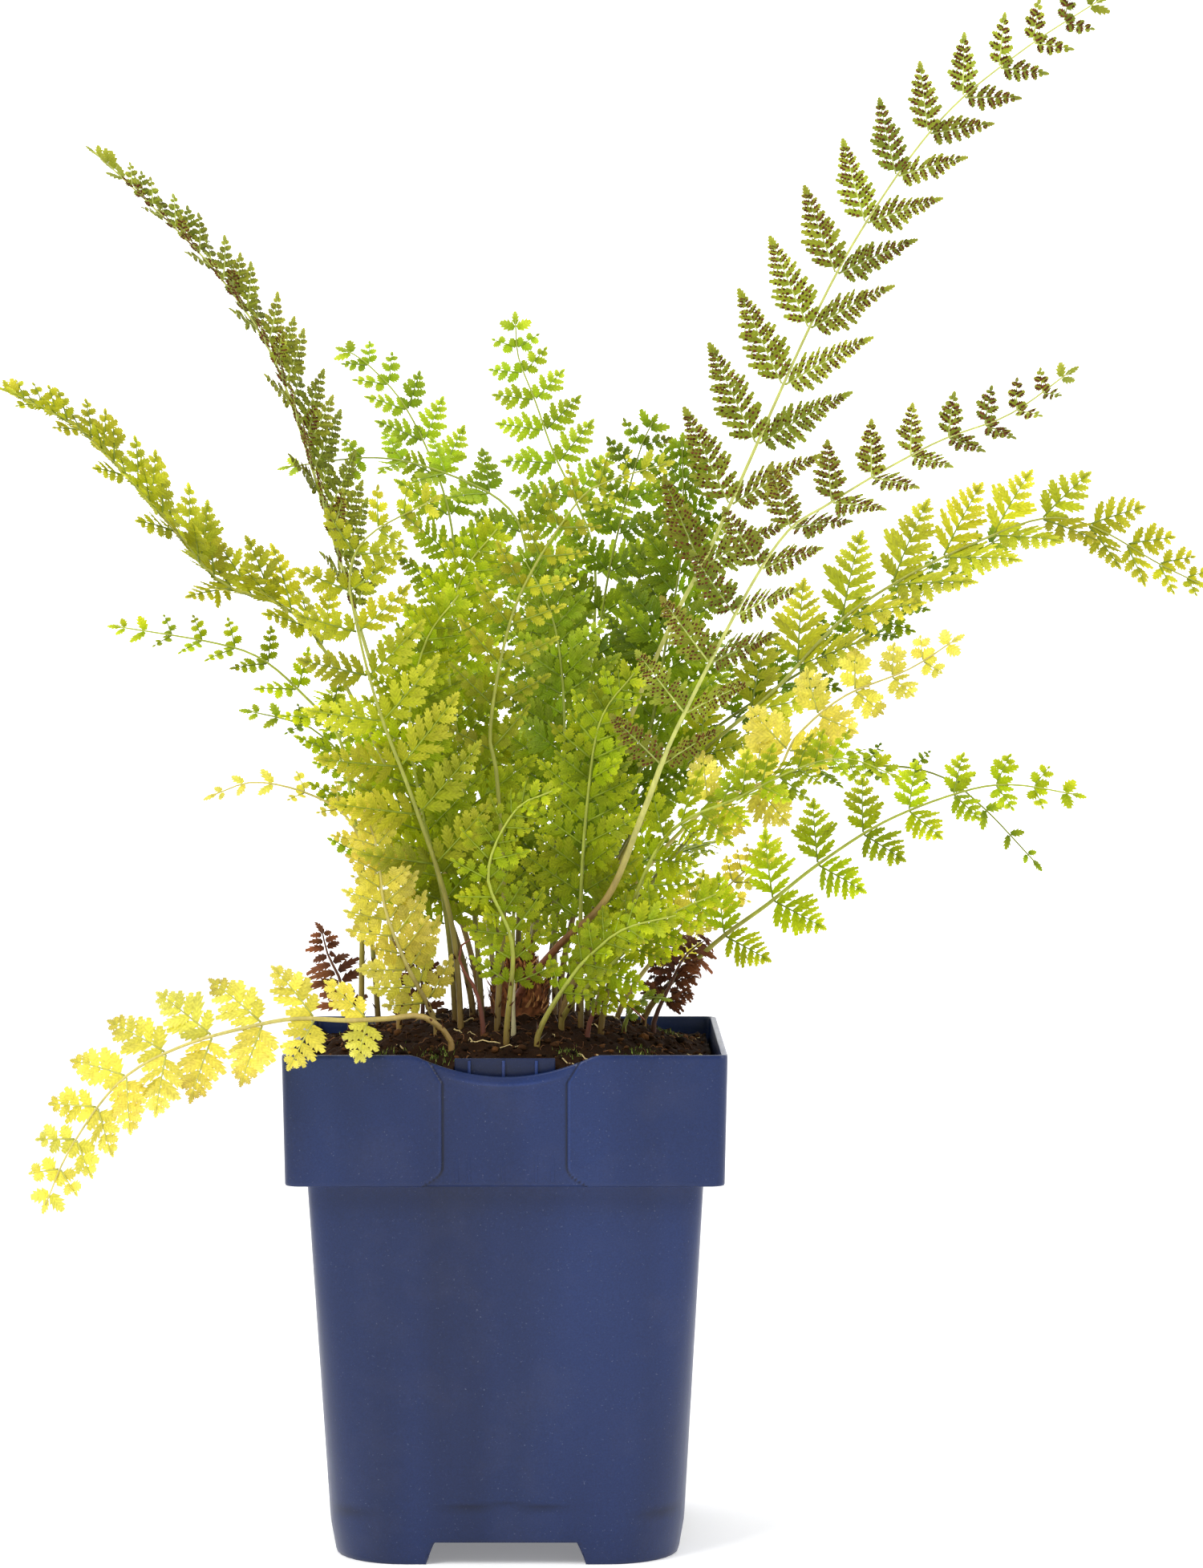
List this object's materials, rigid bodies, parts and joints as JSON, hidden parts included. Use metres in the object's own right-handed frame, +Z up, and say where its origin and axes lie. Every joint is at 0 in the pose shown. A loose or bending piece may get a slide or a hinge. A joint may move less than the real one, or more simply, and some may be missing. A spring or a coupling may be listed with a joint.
{
  "type": "potted fern",
  "caption": "Lady fern with a spreading tuft of finely cut fronds, rooted in soil in a square plastic nursery pot.",
  "frame": {"origin": "centre of the pot's underside, on the floor it stands on", "axes": "+Z up, +X to the right and -Y towards the viewer of the picture, who looks at the side with the dipped rim"},
  "size_m": [0.3624, 0.2311, 0.4609],
  "materials": {
    "crown": "brown fibrous rootstock",
    "dead": "dry dark brown leaf",
    "deep": "dark green leaf",
    "fertile": "green leaf with brown spore dots",
    "gold": "yellow-green leaf",
    "green": "mid green leaf",
    "lime": "light green leaf",
    "pale": "pale yellow leaf",
    "pot": "dark blue satin moulded plastic with a fine grain",
    "soil": "dark brown crumbly potting soil",
    "stalk": "red-brown stem",
    "straw": "pale cut stem"
  },
  "bodies": {
    "root": {"crown": "crown", "dead_centre": "dead", "dead_left": "dead", "dead_right": "dead", "frond_across_left": "green", "frond_back_left": "green", "frond_back_low": "gold", "frond_back_right": "deep", "frond_back_side": "lime", "frond_back_tall": "green", "frond_back_wide": "lime", "frond_bright_right": "lime", "frond_dark_right": "deep", "frond_dark_upright": "deep", "frond_droop_right": "lime", "frond_fine_left": "green", "frond_front_low": "lime", "frond_front_right": "fertile", "frond_front_small": "lime", "frond_gold_left": "gold", "frond_gold_right": "gold", "frond_inner_left": "lime", "frond_inner_mid": "green", "frond_inner_tall": "deep", "frond_left_brown": "pale", "frond_left_mid": "lime", "frond_left_small": "green", "frond_low_inner": "lime", "frond_low_left": "pale", "frond_low_mid": "lime", "frond_low_right": "lime", "frond_pale_back": "pale", "frond_pale_left": "pale", "frond_tall_left": "fertile", "frond_tall_right": "fertile", "frond_thin_right": "deep", "frond_top_centre": "green", "frond_yellow_centre": "gold", "frond_yellow_left": "gold", "frond_yellow_right": "pale", "pot": "pot", "soil": "soil", "stalk_curled_left": "stalk", "stalk_curled_right": "stalk", "stalk_cut": "straw", "weed_right": "green"}
  },
  "joints": []
}
